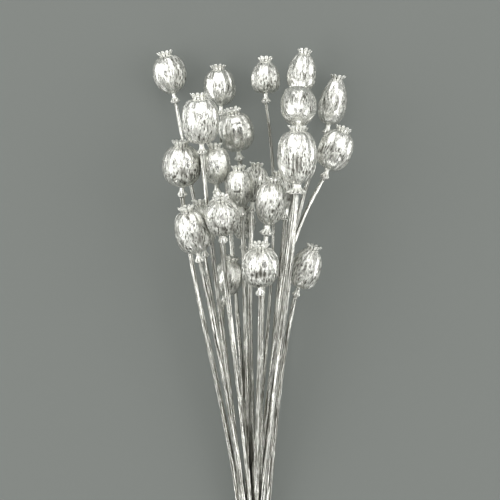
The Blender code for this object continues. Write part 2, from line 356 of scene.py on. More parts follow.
# The place in the grain, in centimetres: on a stem, a capsule and the twine it goes round a circle of this
# radius, and on each next head it lies so much further on (capsule, crown and stem), so no two are alike.
CM = 10.0
STEM_GRAIN = 0.4
CAPSULE_GRAIN = 1.5
TWINE_GRAIN = 0.13
CAPSULE_SKIN, CROWN_SKIN, STEM_SKIN = 0, 1, 2
TWINE_SKIN = 0
GRAIN_APART = (2.3, 1.9, 3.7)
KNOB_GRAIN_APART = 5.1

# How finely the pieces are made. A capsule's rings are drawn to its ends by this share, since it curves most
# there. Places on the tie count as its top within this height, and sums as 0 within their rounding.
SIDES_PER_RAY = 12
KNOB_SIDES = 84
STEM_SIDES = 24
KNOB_RINGS = 30
CAPSULE_RINGS = 66
RINGS_DRAWN = 0.55
UNDER_RINGS = 11
TOP_RINGS = 16
TWINE_SIDES = 24
TWINE_STEP = 0.7
POINTS_ROUND_TIE = 721
TOP_WITHIN = 0.01
ROUNDING = 1e-9

# The silver on capsules, crowns and stems: how its grain is stretched, how much it is flecked, its colour and
# that of its flecks and of the shade painted in its hollows, how rough it is where smooth and where wrinkled,
# and how deep its relief is in metres.
# One spray on all three, given a lighter tone on crowns and darker ones on capsules and stems: painted light
# and shade.
CAPSULE_SILVER, CROWN_SILVER, STEM_SILVER = (0.887, 0.887, 0.843), (0.97, 0.97, 0.925), (0.86, 0.86, 0.815)
HEAD_BARE_AND_SHADE, STEM_BARE_AND_SHADE = (0.095, 0.092, 0.073), (0.094, 0.087, 0.062)
SILVERS = {
    "silver_capsule": ((1.0, 1.0, 0.32), 0.90, CAPSULE_SILVER, HEAD_BARE_AND_SHADE, 0.24, 0.40, 0.0016),
    "silver_crown": ((1.4, 1.4, 1.0), 0.10, CROWN_SILVER, HEAD_BARE_AND_SHADE, 0.26, 0.40, 0.0005),
    "silver_stem": ((0.75, 0.75, 0.07), 0.80, STEM_SILVER, STEM_BARE_AND_SHADE, 0.18, 0.34, 0.0013),
}
SILVER_METALLIC = 0.82

# The patches, cracks and specks of thin metal: the scale, detail and roughness of each one's grain, and
# between which of its values each begins.
PATCH_GRAIN = (2.2, 2.0, 0.5)
CRACK_GRAIN = (8.0, 3.0, 0.6)
SPECK_GRAIN = (14.0, 2.0, 0.6)
PATCH_EDGE = (0.42, 0.58)
CRACK_EDGE = (0.42, 0.46)
SPECK_EDGE = (0.54, 0.59)

# How strongly a wrinkled skin brings patches, how dark specks are, how dark the shade painted in hollows is,
# how flecked and how raised the metal is anywhere and how much more in the patches, and how deep the specks
# are in it.
WRINKLED_PULL = 0.4
SPECK_SHADE = 0.7
HOLLOW_SHADE = 0.95
FLECKED = 0.3
MORE_FLECKED = 0.7
RAISED = 0.25
MORE_RAISED = 0.75
SPECK_RELIEF = 0.08

# The jute: how its fibres and its tone are stretched, the scale, detail and roughness of their grain, their
# shares of its tone, between which tones its colour changes, its colours and that of the shade painted
# between its plies, how strongly that shade is painted, and its relief in metres.
FIBRE_STRETCH = (1.0, 1.0, 0.08)
FIBRE_GRAIN = (45.0, 3.0, 0.65)
TONE_STRETCH = (1.0, 1.0, 0.5)
TONE_GRAIN = (3.0, 2.0, 0.5)
FIBRE_SHARE = 0.7
TONE_SHARE = 0.5
JUTE_EDGE = (0.42, 0.78)
DARK_JUTE = (0.17, 0.115, 0.066)
PALE_JUTE = (0.50, 0.39, 0.26)
JUTE_IN_PAINTED_SHADE = (0.09, 0.055, 0.028)
JUTE_HOLLOW_SHADE = 0.8
JUTE_ROUGHNESS = 0.85
JUTE_RELIEF = 0.0005

# The studio, in metres: the floor, which glows a little, and the soft lights, each with its place, what it is
# aimed at, its size and its power in watts. The backdrop gives little light, and the camera sees it paler.
FLOOR_SIZE = 6.0
FLOOR_COLOUR = (0.094, 0.098, 0.094)
FLOOR_ROUGHNESS = 0.9
FLOOR_GLOW = (0.94, 1.0, 0.94)
FLOOR_GLOW_STRENGTH = 0.12
SOFTBOXES = {
    "key_softbox": ((0.0, 1.9, 1.6), (0.0, 0.1, 0.0), (3.2, 3.0), 39.5),
    "right_softbox": ((2.0, 0.0, 1.2), (0.0, 0.1, 0.0), (2.6, 2.3), 37.5),
    "left_softbox": ((-2.0, 0.0, 1.2), (0.0, 0.1, 0.0), (2.6, 2.3), 41.0),
    "near_softbox": ((0.0, -2.2, 1.1), (0.0, 0.0, 0.0), (2.4, 1.4), 16.0),
}
BACKDROP_COLOUR = (0.62, 0.63, 0.62)
BACKDROP_LIGHT = 0.1
BACKDROP_PALER = 0.45

# The seeds of the random draws.
HEAD_SEED = 500
TWINE_SEED = 700

# The photograph's view: looking straight down, with so many millimetres to a pixel at the heads' height, from
# so high, and from so far across and along from the tie.
PHOTO_PIXELS = 500
MM_PER_PIXEL = 0.9
SCALE_HEIGHT = 50.0
CAMERA_HEIGHT = 1800.0
VIEW_ACROSS = -3.1
VIEW_ALONG = 260.0


def unit(vector):
    return vector / np.linalg.norm(vector, axis=-1, keepdims=True)


# Where the stems and heads lie, as in the solid part.


def axis_of(head):
    lean, lift = math.radians(head[4]), math.radians(head[5])
    return np.array([math.sin(lean) * math.cos(lift), math.cos(lean) * math.cos(lift), math.sin(lift)])


def tie_height():
    rows_down = (len(ROWS) - 1) / 2 * STEM_PITCH * ROW_RISE
    return rows_down + STEM_RADIUS + TIE_GAP + TWINE - FLATTENED


def slots():
    places = []
    for row, count in enumerate(ROWS):
        high = tie_height() + (row - (len(ROWS) - 1) / 2) * STEM_PITCH * ROW_RISE
        for place in range(count):
            places.append(np.array([(place - (count - 1) / 2) * STEM_PITCH, 0.0, high]))
    return places


def curve_between(start, end, leave, arrive, length, u):
    """A smooth curve from start to end, with its slopes there, at shares u of its length."""
    keep_start, keep_end = 2 * u**3 - 3 * u**2 + 1, 3 * u**2 - 2 * u**3
    out, back = (u**3 - 2 * u**2 + u) * length, (u**3 - u**2) * length
    return start * keep_start + leave * out + end * keep_end + arrive * back


def neck_foot(head):
    return np.array(head[1], float) - axis_of(head) * (head[3] / 2 + NECK_LENGTH)


def stem_slope(head, slot):
    away = neck_foot(head) - slot - np.array([0.0, STRAIGHT_HALF + BEND_HALF, 0.0])
    return away / away[1]


def slot_of_each():
    places = slots()
    middle = np.array([0.0, 0.0, tie_height()])
    slopes = [stem_slope(head, middle) for head in HEADS]
    order = list(range(len(HEADS)))
    changed = True
    while changed:
        changed = False
        for first in range(len(order)):
            for second in range(first + 1, len(order)):
                apart = places[order[first]] - places[order[second]]
                if np.dot(apart, slopes[first] - slopes[second]) < -ROUNDING:
                    order[first], order[second] = order[second], order[first]
                    changed = True
    return [places[number] for number in order]


def tail_points(slot, number, shares):
    length = CUT_FROM_TIE + CUT_VARIES * math.sin(GOLDEN_ANGLE * number) - STRAIGHT_HALF
    below = length * (1 - shares)
    spread = CUT_SPREAD * below / CUT_FROM_TIE
    lowest = slots()[0][2]
    across, high = slot[0] * (1 + spread), slot[2] + (slot[2] - lowest) * spread
    return np.stack([across, -STRAIGHT_HALF - below, high], 1)


def bend_points(slot, slope, shares):
    beyond = (2 * BEND_HALF * shares)[:, None]
    return slot + slope * beyond**2 / (4 * BEND_HALF) + np.array([0.0, 1.0, 0.0]) * (STRAIGHT_HALF + beyond)


def reach_points(head, slot, shares):
    mean, axis = stem_slope(head, slot), axis_of(head)
    leave = mean * LEAVE_SHARE
    arrive = mean * (1 - ARRIVE_SHARE) + axis / axis[1] * ARRIVE_SHARE
    if head[0] in BENT_STEMS:
        leave[0], arrive[0] = (math.tan(math.radians(lean)) for lean in BENT_STEMS[head[0]])
    leave[1] = arrive[1] = 1.0
    start = bend_points(slot, leave * np.array([1.0, 0.0, 1.0]), np.array([1.0]))[0]
    end = neck_foot(head)
    return curve_between(start, end, leave, arrive, end[1] - start[1], shares[:, None]), leave


def stem_line(head, slot, number):
    """The stem's middle line from its cut end to its knob, smoothed a little, and its radius."""
    reach, leave = reach_points(head, slot, np.linspace(0, 1, REACH_POINTS))
    tail = tail_points(slot, number, np.linspace(0, 1, TAIL_POINTS))
    bend = bend_points(slot, leave * np.array([1.0, 0.0, 1.0]), np.linspace(0, 1, BEND_POINTS)[1:-1])
    line = np.concatenate([tail, bend, reach])
    for _ in range(SMOOTHINGS):
        line[1:-1] = (line[:-2] + 2 * line[1:-1] + line[2:]) / 4
    radius = np.full(len(line), STEM_RADIUS)
    radius[-len(reach) :] = np.linspace(STEM_RADIUS, STEM_TOP_RADIUS, len(reach))
    return line, radius


# Surfaces as rings of points.


def ripple(random, angles, shares, around, along):
    """A smooth random swell between -1 and 1, with so many cells round a piece and along it."""
    values = random.uniform(-1, 1, (along + 2, around))
    u, v = (angles / (2 * math.pi) * around) % around, np.clip(shares, 0, 1) * along
    column, row = np.floor(u).astype(int) % around, np.floor(v).astype(int)
    across, up = u - np.floor(u), v - row
    across, up = across**2 * (3 - 2 * across), up**2 * (3 - 2 * up)
    after = (column + 1) % around
    low = values[row, column] * (1 - across) + values[row, after] * across
    high = values[row + 1, column] * (1 - across) + values[row + 1, after] * across
    return low * (1 - up) + high * up


def turn_between(angles, middle):
    return (angles - middle + math.pi) % (2 * math.pi) - math.pi


def hump(offset, half_width):
    return np.exp(-((offset / half_width) ** 2))


def eased(stations, values, at):
    """Values between stations, with a smooth curve through them."""
    stations, values = np.array(stations, float), np.array(values, float)
    slopes = np.gradient(values, stations)
    place = np.clip(np.searchsorted(stations, at) - 1, 0, len(stations) - 2)
    width = stations[place + 1] - stations[place]
    u = (at - stations[place]) / width
    return curve_between(values[place], values[place + 1], slopes[place], slopes[place + 1], width, u)


def rings_across(middles, directions, radii):
    """One ring of points for each middle, in the plane across its direction, starting on the right."""
    right = unit(np.cross(directions, (0.0, 0.0, 1.0)))
    over = np.cross(right, directions)
    angles = np.arange(radii.shape[1]) * 2 * math.pi / radii.shape[1]
    across, up = np.cos(angles)[None, :, None], np.sin(angles)[None, :, None]
    outward = across * right[:, None, :] + up * over[:, None, :]
    return middles + outward * radii[:, :, None]


def grain_round(angles, radius, along):
    """The grain's place on a surface that goes round an axis."""
    angles, along = np.broadcast_arrays(angles, along)
    return np.stack([np.cos(angles) * radius, np.sin(angles) * radius, along / CM], 2)


def crown_size(head):
    """A wide capsule has a larger crown."""
    return math.sqrt(head[2] / USUAL_WIDTH)


def capsule_radius(head, share):
    belly, low_power, fullness, roundness, foot = SHAPES[head[6]]
    widest, neck = head[2] / 2, CROWN_NECK * crown_size(head)
    low = np.clip(share / belly, 0, 1)
    high = np.clip((share - belly) / (1 - belly), 0, 1)
    below = widest * (foot + (1 - foot) * (1 - (1 - low) ** low_power) ** (1 / low_power))
    above = neck + (widest - neck) * (1 - high**fullness) ** (1 / roundness)
    return np.where(share < belly, below, above)


def lopsided(number, angles):
    turn = GOLDEN_ANGLE * number
    return 1 + LOPSIDED * np.cos(2 * angles + turn) + LOPSIDED * np.cos(3 * angles - 2 * turn)


class Surface:
    """Rings of points, each with its place in the grain, its painted shade and how wrinkled the skin is
    there.
    """

    def __init__(self):
        self.points, self.places, self.hollows, self.wrinkles = [], [], [], []
        self.counts, self.skins = [], []

    def add(self, rings, places, hollows, skin, wrinkles=None):
        for number, (ring, place, hollow) in enumerate(zip(rings, places, hollows)):
            self.points.append(ring)
            self.places.append(place)
            self.hollows.append(hollow)
            plain = np.full(len(ring), MEAN_WRINKLED)
            self.wrinkles.append(plain if wrinkles is None else wrinkles[number])
            self.counts.append(len(ring))
            self.skins.append(skin)

    def faces(self):
        starts = np.concatenate([[0], np.cumsum(self.counts)])
        made, skins = [list(range(starts[0], starts[1]))], [self.skins[0]]
        for number in range(len(self.counts) - 1):
            low = np.arange(starts[number], starts[number + 1])
            high = np.arange(starts[number + 1], starts[number + 2])
            added = bridge(low, high)
            made += added
            skins += [self.skins[number + 1]] * len(added)
        return made, skins


def bridge(low, high):
    """Faces between two rings, also where their counts differ or the upper one is a single point."""
    if len(high) == 1:
        return [(here, high[0], after) for here, after in zip(low, np.roll(low, -1))]
    if len(low) == len(high):
        return np.stack([low, high, np.roll(high, -1), np.roll(low, -1)], 1).tolist()
    made, done_low, done_high = [], 0, 0
    while done_low < len(low) or done_high < len(high):
        here, over = low[done_low % len(low)], high[done_high % len(high)]
        if done_low < len(low) and (done_low + 1) * len(high) <= (done_high + 1) * len(low):
            done_low += 1
            made.append((here, over, low[done_low % len(low)]))
        else:
            done_high += 1
            made.append((here, over, high[done_high % len(high)]))
    return made


def crevice(rings, number, lines):
    """How close each point on a stem is to another stem, for the shade painted there: 1 where they touch."""
    closest = np.full(rings.shape[:2], NEVER_NEAR)
    for other, line in enumerate(lines):
        if other != number:
            across = rings[:, :, 0] - np.interp(rings[:, :, 1], line[:, 1], line[:, 0], right=NEVER_NEAR)
            up = rings[:, :, 2] - np.interp(rings[:, :, 1], line[:, 1], line[:, 2], right=NEVER_NEAR)
            closest = np.minimum(closest, np.hypot(across, up) - STEM_RADIUS)
    return hump(np.maximum(closest, 0.0), CREVICE_REACH)


def stem_surface(surface, head, slot, number, random, lines):
    line, radius = stem_line(head, slot, number)
    directions = unit(np.gradient(line, axis=0))
    along = np.concatenate([[0], np.cumsum(np.linalg.norm(np.diff(line, axis=0), axis=1))])
    angles, shares = np.meshgrid(np.arange(STEM_SIDES) * 2 * math.pi / STEM_SIDES, along / along[-1])
    wander = RIDGE_WANDER * ripple(random, angles, shares, *WANDER_CELLS)
    ridges = RIDGE_HEIGHT * np.cos(STEM_RIDGES * angles + number + wander)
    for high, so_many_round, so_many_along in STEM_RIPPLES:
        ridges += high * ripple(random, angles, shares, so_many_round, so_many_along)
    for _ in range(SCARS):
        scar, side = random.uniform(*SCAR_BETWEEN), random.uniform(0, 2 * math.pi)
        at_scar = hump((shares - scar) * along[-1], SCAR_LENGTH)
        ridges += at_scar * (SCAR_HEIGHT + SCAR_LUMP * hump(turn_between(angles, side), SCAR_WIDTH))
    slender = 1 - (1 - SLENDER.get(head[0], 1.0)) * np.clip(shares * THINNING, 0, 1)
    radii = radius[:, None] * (STEM_MEAN + ridges) * slender
    places = grain_round(angles, STEM_GRAIN, shares * along[-1]) + number * GRAIN_APART[STEM_SKIN]
    rings = rings_across(line[:, None, :], directions, radii)
    # Shade painted between the ridges and where stems crowd, less towards the cut end.
    shaded = crevice(rings, number, lines) * np.clip(shares * END_FADE, END_SHADE, 1)
    hollows = np.clip(np.clip(-ridges * RIDGE_SHADE - RIDGE_SHADE_FROM, 0, 1) + shaded, 0, 1)
    # The cut end's hollow, with shade painted darker where it is deeper.
    cut = np.array(CUT_END)[:, :, None, None]
    cut_line = (line[0] + directions[0] * cut[:, 1])[:, 0][:, None, :]
    surface.add(
        rings_across(cut_line, np.repeat(directions[:1], len(cut), 0), radii[:1] * cut[:, 0, 0]),
        np.repeat(places[:1], len(cut), 0),
        np.clip(cut[:, 1, 0] * CUT_SHADE, 0, MOST_CUT_SHADE) + np.zeros((1, STEM_SIDES)),
        STEM_SKIN,
    )
    surface.add(rings, places, hollows, STEM_SKIN)


def knob_surface(surface, head, number, random):
    axis, middle, half = axis_of(head), np.array(head[1], float), head[3] / 2
    below, shares, depths = np.array(KNOB).T
    at = np.linspace(below[0], below[-1], KNOB_RINGS)
    profile = eased(-below, shares, -at)[:, None] * head[8]
    depth = eased(-below, depths, -at)[:, None]
    angles = np.arange(KNOB_SIDES) * 2 * math.pi / KNOB_SIDES
    flutes = FEWEST_FLUTES + number % 3 + (FLUTES_ON_WIDE if head[8] > WIDE_KNOB else 0)
    groove = 1 - np.abs(np.cos(flutes * angles / 2 + number)) ** FLUTE_SHARPNESS
    uneven = ripple(random, *np.meshgrid(angles, at / below[0]), flutes, FLUTE_CELLS_DOWN)
    radii = profile * (1 - FLUTE_DEPTH * depth * groove + FLUTE_VARIES * depth * uneven)
    scallop = KNOB_SCALLOP * (SCALLOP_GROOVE * groove - SCALLOP_VARIES * uneven)
    lowered = at[:, None] - scallop * hump(at - SCALLOP_BELOW, SCALLOP_WIDTH)[:, None]
    middles = middle - axis * (half + lowered)[:, :, None]
    rings = rings_across(middles, np.repeat(axis[None, :], len(at), 0), radii)
    places = grain_round(angles, radii / CM, at[:, None]) + number * KNOB_GRAIN_APART
    # Shade painted in the flutes' grooves and in the groove over the collar.
    hollows = np.clip(FLUTE_SHADE * depth * groove**FLUTE_SHADE_SHARPNESS, 0, 1)
    hollows += COLLAR_SHADE * hump(at - COLLAR_BELOW, COLLAR_WIDTH)[:, None]
    surface.add(rings, places, np.clip(hollows, 0, 1), CROWN_SKIN)


def capsule_swell(head, angles, shares, random):
    """How far the capsule's skin stands out of its plain shape, in millimetres, and how wrinkled it is."""
    rays = head[7]
    relief = BELLY_RELIEF + (1 - BELLY_RELIEF) * np.abs(2 * shares - 1)
    high, to_a_ray, so_many_along = SWELL
    swell = high * ripple(random, angles, shares, rays * to_a_ray, so_many_along) * relief
    for high, to_a_ray, so_many_along in CAPSULE_RIPPLES:
        swell += high * ripple(random, angles, shares, rays * to_a_ray, so_many_along)
    swell += SEAM * np.abs(np.cos(rays * angles / 2)) ** SEAM_SHARPNESS * relief
    from_wrinkle = np.abs(ripple(random, angles, shares, rays * 2 + WRINKLES_MORE, WRINKLES_ALONG))
    wrinkles = np.clip(1 - from_wrinkle / WRINKLE_WIDTH, 0, 1)
    swell -= WRINKLE * wrinkles * (0.5 + 0.5 * ripple(random, angles, shares, *WRINKLE_DEEPER))
    dents = list(DENTS.get(head[0], ()))
    for _ in range(SMALL_DENTS):
        dents.append([random.uniform(*span) for span in SMALL_DENT_SPANS])
    wrinkled = WRINKLED + WEAR_AND_SHADE.get(head[0], 0) + WRINKLED_BELT * hump(shares - BELT_PLACE, BELT_WIDTH)
    wrinkled += WRINKLED_VARIES * ripple(random, angles, shares, *PATCH_CELLS)
    for angle, share, half_turn, half_share, depth in dents:
        turned, beyond = turn_between(angles, math.radians(angle)), shares - share
        wider, longer = math.radians(half_turn + ABOUT_DENT[0]), half_share + ABOUT_DENT[1]
        swell -= depth * hump(turned, math.radians(half_turn)) * hump(beyond, half_share)
        wrinkled += WRINKLED_DENT * depth * hump(turned, wider) * hump(beyond, longer)
    swell *= np.clip(shares * SWELL_FADE, 0, 1) * np.clip((1 - shares) * SWELL_FADE, 0, 1)
    return swell, np.clip(wrinkled, *WRINKLED_LIMITS)


def pores(rays, angles, heights):
    """The small openings under the crown's notches: 1 where one is deepest."""
    return np.clip(-np.cos(rays * angles), 0, 1) ** PORE_SHARPNESS * hump(heights - PORE_ABOVE, PORE_HEIGHT)


def capsule_surface(surface, head, number, random):
    axis, middle, half, rays = axis_of(head), np.array(head[1], float), head[3] / 2, head[7]
    sides = rays * SIDES_PER_RAY
    even = np.linspace(0, 1, CAPSULE_RINGS)
    shares = RINGS_DRAWN * (1 - np.cos(even * math.pi)) / 2 + (1 - RINGS_DRAWN) * even
    angles, shares = np.meshgrid(np.arange(sides) * 2 * math.pi / sides, shares)
    swell, wrinkled = capsule_swell(head, angles, shares, random)
    plain = capsule_radius(head, shares) * lopsided(number, angles) * (1 + RIB * np.cos(rays * angles))
    hole = pores(rays, angles, (shares - 1) * head[3])
    radii = plain + swell - PORE_DEPTH * hole
    middles = middle + axis * (half * (2 * shares[:, :1] - 1))
    rings = rings_across(middles[:, None, :], np.repeat(axis[None, :], len(shares), 0), radii)
    places = grain_round(angles, CAPSULE_GRAIN, shares * head[3]) + number * GRAIN_APART[CAPSULE_SKIN]
    # Shade painted in the capsule's hollows and openings, darker or lighter on some heads.
    most = MOST_CAPSULE_SHADE + WEAR_AND_SHADE.get(head[0], 0)
    hollows = np.clip(-swell * CAPSULE_SHADE - CAPSULE_SHADE_FROM, 0, 1) * most + hole
    surface.add(rings, places, np.clip(hollows, 0, 1), CAPSULE_SKIN, wrinkled)


def for_each_lobe(rays, angles, values):
    """Each lobe's own value at its middle, changing evenly to the next lobe's."""
    return np.interp(angles, np.arange(rays + 1) * 2 * math.pi / rays, [*values, values[0]])


def crown_surface(surface, head, number, random):
    axis, rays, size = axis_of(head), head[7], crown_size(head)
    top = np.array(head[1], float) + axis * head[3] / 2
    angles = np.arange(rays * SIDES_PER_RAY) * 2 * math.pi / (rays * SIDES_PER_RAY)
    from_middle = np.abs((angles * rays / math.pi + 1) % 2 - 1)
    lobe = np.sqrt(np.clip(1 - (LOBE_NARROWING * from_middle) ** LOBE_ROUNDNESS, 0, 1))
    # How much shade is painted between the lobes.
    gap = from_middle**LOBE_GAP_SHADE
    ridge = np.clip(1 - (from_middle / RAY_HALF_WIDTH) ** 2, 0, 1)
    reach = for_each_lobe(rays, angles, random.uniform(*LOBE_REACH, rays))
    lift = for_each_lobe(rays, angles, random.uniform(*LOBE_LIFT, rays))
    radius, height = CROWN_RADIUS * size, CROWN_HEIGHT * size
    edge = radius * (NOTCH_RADIUS + (1 - NOTCH_RADIUS) * lobe) * reach

    def surface_height(distance):
        outer = np.clip((distance / radius - BOWL_RADIUS) / (1 - BOWL_RADIUS), 0, 1)
        inner = np.clip(distance / radius / BOWL_RADIUS, 0, 1)
        bowl = height * (CENTRE_HEIGHT + (BOWL_HEIGHT - CENTRE_HEIGHT) * inner**2)
        return bowl + (height - bowl) * outer**LOBE_CURL * lift

    edge_height = surface_height(edge)
    waist_height, waist_radius = CROWN_WAIST[0] * size, CROWN_NECK * CROWN_WAIST[1] * size
    # Shade is painted in the openings, between the lobes and between the rays in the bowl.
    radii, heights, hollows = [], [], []
    for q in np.linspace(0, 1, UNDER_RINGS):
        up = (1 - UNDER_CURVE) * q + UNDER_CURVE * q**2
        rise = waist_height + (edge_height - CROWN_EDGE - waist_height) * up
        hole = pores(rays, angles, rise)
        flare = waist_radius + (edge * UNDER_REACH - waist_radius) * q**UNDER_FLARE
        radii.append(flare - CROWN_PORE_DEPTH * hole * (1 - q))
        heights.append(rise)
        hollows.append(np.clip(hole + (WAIST_SHADE + (1 - WAIST_SHADE) * q) * gap, 0, 1))
    radii.append(edge)
    heights.append(edge_height - CROWN_EDGE / 2)
    hollows.append(EDGE_SHADE * gap)
    for q in np.linspace(*TOP_SHARES, TOP_RINGS):
        bar = RAY_HEIGHT * math.sin(math.pi * min(q + RAY_SHIFT, 1.0)) ** RAY_ROUNDNESS
        dip = RAY_DIP * (1 - math.sin(math.pi * q / 2))
        radii.append(edge * q)
        heights.append(surface_height(edge * q) + (bar - dip) * ridge)
        hollows.append(np.clip((1 - ridge) * math.sin(math.pi * q) * BOWL_SHADE - BOWL_SHADE_FROM, 0, 1))
    radii, heights, hollows = np.array(radii), np.array(heights), np.array(hollows)
    rings = rings_across(top + axis * heights[:, :, None], np.repeat(axis[None, :], len(radii), 0), radii)
    places = grain_round(angles, radii / CM, heights) + number * GRAIN_APART[CROWN_SKIN]
    surface.add(rings, places, hollows, CROWN_SKIN)
    surface.add([[top + axis * height * CENTRE_HEIGHT]], [[places[-1, 0]]], [[0.0]], CROWN_SKIN)


def line_round_bundle():
    """A twine's middle line once round the stems: its places, its outward angles and the length so far."""
    middle = np.array([0.0, tie_height()])
    stems = np.array([place[[0, 2]] for place in slots()])
    angles = np.linspace(0, 2 * math.pi, POINTS_ROUND_TIE)
    outward = np.stack([np.cos(angles), np.sin(angles)], 1)
    outermost = stems[np.argmax(outward @ (stems - middle).T, axis=1)]
    places = outermost + outward * (STEM_RADIUS + TIE_GAP + TWINE / 2)
    lengths = np.concatenate([[0], np.cumsum(np.linalg.norm(np.diff(places, axis=0), axis=1))])
    return places, angles, lengths


def twine_surface(surface, random):
    """A twine wound round the stems, with both of its ends tucked in between the stems on top."""
    places, angles, lengths = line_round_bundle()
    on_top = places[:, 1] > places[:, 1].max() - TOP_WITHIN
    start = np.interp(-TUCK_ACROSS, -places[on_top, 0], lengths[on_top])
    total = (TURNS - 1) * lengths[-1] + 2 * TUCK_ACROSS
    run = np.arange(0, total, TWINE_STEP)
    at = (start + run) % lengths[-1]
    turn = np.interp(at, lengths, angles)
    outward = np.stack([np.cos(turn), np.zeros(len(run)), np.sin(turn)], 1)
    tuck_in = np.clip(1 - run / TUCK_LENGTH, 0, 1) ** 2
    tuck_out = np.clip(1 - (total - run) / TUCK_LENGTH, 0, 1) ** 2
    along = TWINE_REACH * (2 * run / total - 1) + TUCK_ALONG * (tuck_in - tuck_out)
    middles = np.stack([np.interp(at, lengths, places[:, 0]), along, np.interp(at, lengths, places[:, 1])], 1)
    middles -= outward * (TUCK_DEPTH * (tuck_in + tuck_out))[:, None]
    directions = unit(np.gradient(middles, axis=0))
    aside = unit(np.cross(outward, directions))
    around = np.arange(TWINE_SIDES) * 2 * math.pi / TWINE_SIDES
    twisted = around + 2 * math.pi * run[:, None] / PLY_LAY
    ply = np.abs(np.cos(PLIES * twisted / 2)) ** PLY_ROUNDNESS
    loose = ripple(random, *np.meshgrid(around, run / total), *LOOSE_CELLS)
    radii = TWINE / 2 * (1 - PLY_DEPTH + PLY_DEPTH * ply + LOOSE_FIBRES * loose)
    radii *= (1 - TUCK_THINS * (tuck_in + tuck_out))[:, None]
    spread = np.cos(around)[:, None] * outward[:, None, :] + np.sin(around)[:, None] * aside[:, None, :]
    rings = middles[:, None, :] + spread * radii[:, :, None]
    grain = grain_round(twisted, TWINE_GRAIN, run[:, None])
    # Shade painted between the plies.
    hollows = np.clip(1 - PLY_SHADE * ply, 0, 1)
    surface.add(rings, grain, hollows, TWINE_SKIN)
    surface.add([middles[-1:]], [grain[-1, :1]], [hollows[-1, :1]], TWINE_SKIN)


def put_in_place(points):
    placed = np.array(points, float) + np.array([TIE_ACROSS, TIE_ALONG, 0.0])
    placed[:, 2] = np.maximum(placed[:, 2], 0.0)
    return placed * MM


# The finishes.


def new_group(name, inputs, outputs):
    group = bpy.data.node_groups.new(name, "ShaderNodeTree")
    for label, kind, value in inputs:
        socket = group.interface.new_socket(label, in_out="INPUT", socket_type=kind)
        if value is not None:
            socket.default_value = value
    for label, kind in outputs:
        group.interface.new_socket(label, in_out="OUTPUT", socket_type=kind)
    return group, group.nodes.new("NodeGroupInput"), group.nodes.new("NodeGroupOutput")


def math_node(tree, operation, first, second, clamp=False):
    node = tree.nodes.new("ShaderNodeMath")
    node.operation = operation
    node.use_clamp = clamp
    for socket, value in zip(node.inputs, (first, second)):
        if isinstance(value, (int, float)):
            socket.default_value = value
        else:
            tree.links.new(value, socket)
    return node.outputs[0]


def raised(tree, value, factor, least):
    """The value times a factor, plus a least value."""
    return math_node(tree, "ADD", math_node(tree, "MULTIPLY", value, factor), least)


def noise_node(tree, place, scale, detail, roughness):
    node = tree.nodes.new("ShaderNodeTexNoise")
    tree.links.new(place, node.inputs["Vector"])
    node.inputs["Scale"].default_value = scale
    node.inputs["Detail"].default_value = detail
    node.inputs["Roughness"].default_value = roughness
    return node.outputs["Fac"]


def stretched(tree, place, stretch):
    node = tree.nodes.new("ShaderNodeVectorMath")
    node.operation = "MULTIPLY"
    tree.links.new(place, node.inputs[0])
    if isinstance(stretch, tuple):
        node.inputs[1].default_value = stretch
    else:
        tree.links.new(stretch, node.inputs[1])
    return node.outputs[0]


def between(tree, value, low, high):
    """0 below low and 1 above high."""
    node = tree.nodes.new("ShaderNodeMapRange")
    node.interpolation_type = "SMOOTHSTEP"
    tree.links.new(value, node.inputs["Value"])
    node.inputs["From Min"].default_value = low
    node.inputs["From Max"].default_value = high
    return node.outputs["Result"]


def leaf_metal_group():
    """Thin metal over a dried skin: fine creases along it, flecks where the metal broke and shade painted in
    hollows.
    """
    group, given, result = new_group(
        "Metal over dried skin",
        (
            ("Place", "NodeSocketVector", None),
            ("Stretch", "NodeSocketVector", (1.0, 1.0, 0.3)),
            ("Painted Shade", "NodeSocketFloat", 0.0),
            ("Wrinkled", "NodeSocketFloat", MEAN_WRINKLED),
            ("Fleck Amount", "NodeSocketFloat", 0.5),
        ),
        (("Relief", "NodeSocketFloat"), ("Flecks and Shade", "NodeSocketFloat"), ("Patches", "NodeSocketFloat")),
    )
    place = stretched(group, given.outputs["Place"], given.outputs["Stretch"])
    broad = noise_node(group, place, *PATCH_GRAIN)
    fine = noise_node(group, place, *CRACK_GRAIN)
    speck = noise_node(group, place, *SPECK_GRAIN)
    more_wrinkled = math_node(group, "SUBTRACT", given.outputs["Wrinkled"], MEAN_WRINKLED)
    more_wrinkled = math_node(group, "MULTIPLY", more_wrinkled, WRINKLED_PULL)
    where = between(group, math_node(group, "ADD", broad, more_wrinkled), *PATCH_EDGE)
    flecked = raised(group, where, MORE_FLECKED, FLECKED)
    cracks = math_node(group, "SUBTRACT", 1.0, between(group, fine, *CRACK_EDGE))
    cracks = math_node(group, "MULTIPLY", cracks, flecked)
    specks = math_node(group, "MULTIPLY", between(group, speck, *SPECK_EDGE), flecked)
    darkening = math_node(group, "MAXIMUM", math_node(group, "MULTIPLY", specks, SPECK_SHADE), cracks)
    darkening = math_node(group, "MULTIPLY", darkening, given.outputs["Fleck Amount"])
    # Shade painted in hollows, laid over the flecks.
    painted_hollow_shade = math_node(group, "MULTIPLY", given.outputs["Painted Shade"], HOLLOW_SHADE)
    darkening = math_node(group, "MAXIMUM", darkening, painted_hollow_shade, clamp=True)
    relief = math_node(group, "MULTIPLY", fine, raised(group, where, MORE_RAISED, RAISED))
    relief = math_node(group, "SUBTRACT", relief, math_node(group, "MULTIPLY", specks, SPECK_RELIEF))
    group.links.new(relief, result.inputs["Relief"])
    group.links.new(darkening, result.inputs["Flecks and Shade"])
    group.links.new(where, result.inputs["Patches"])
    return group


def attribute_node(tree, name):
    node = tree.nodes.new("ShaderNodeAttribute")
    node.attribute_name = name
    return node


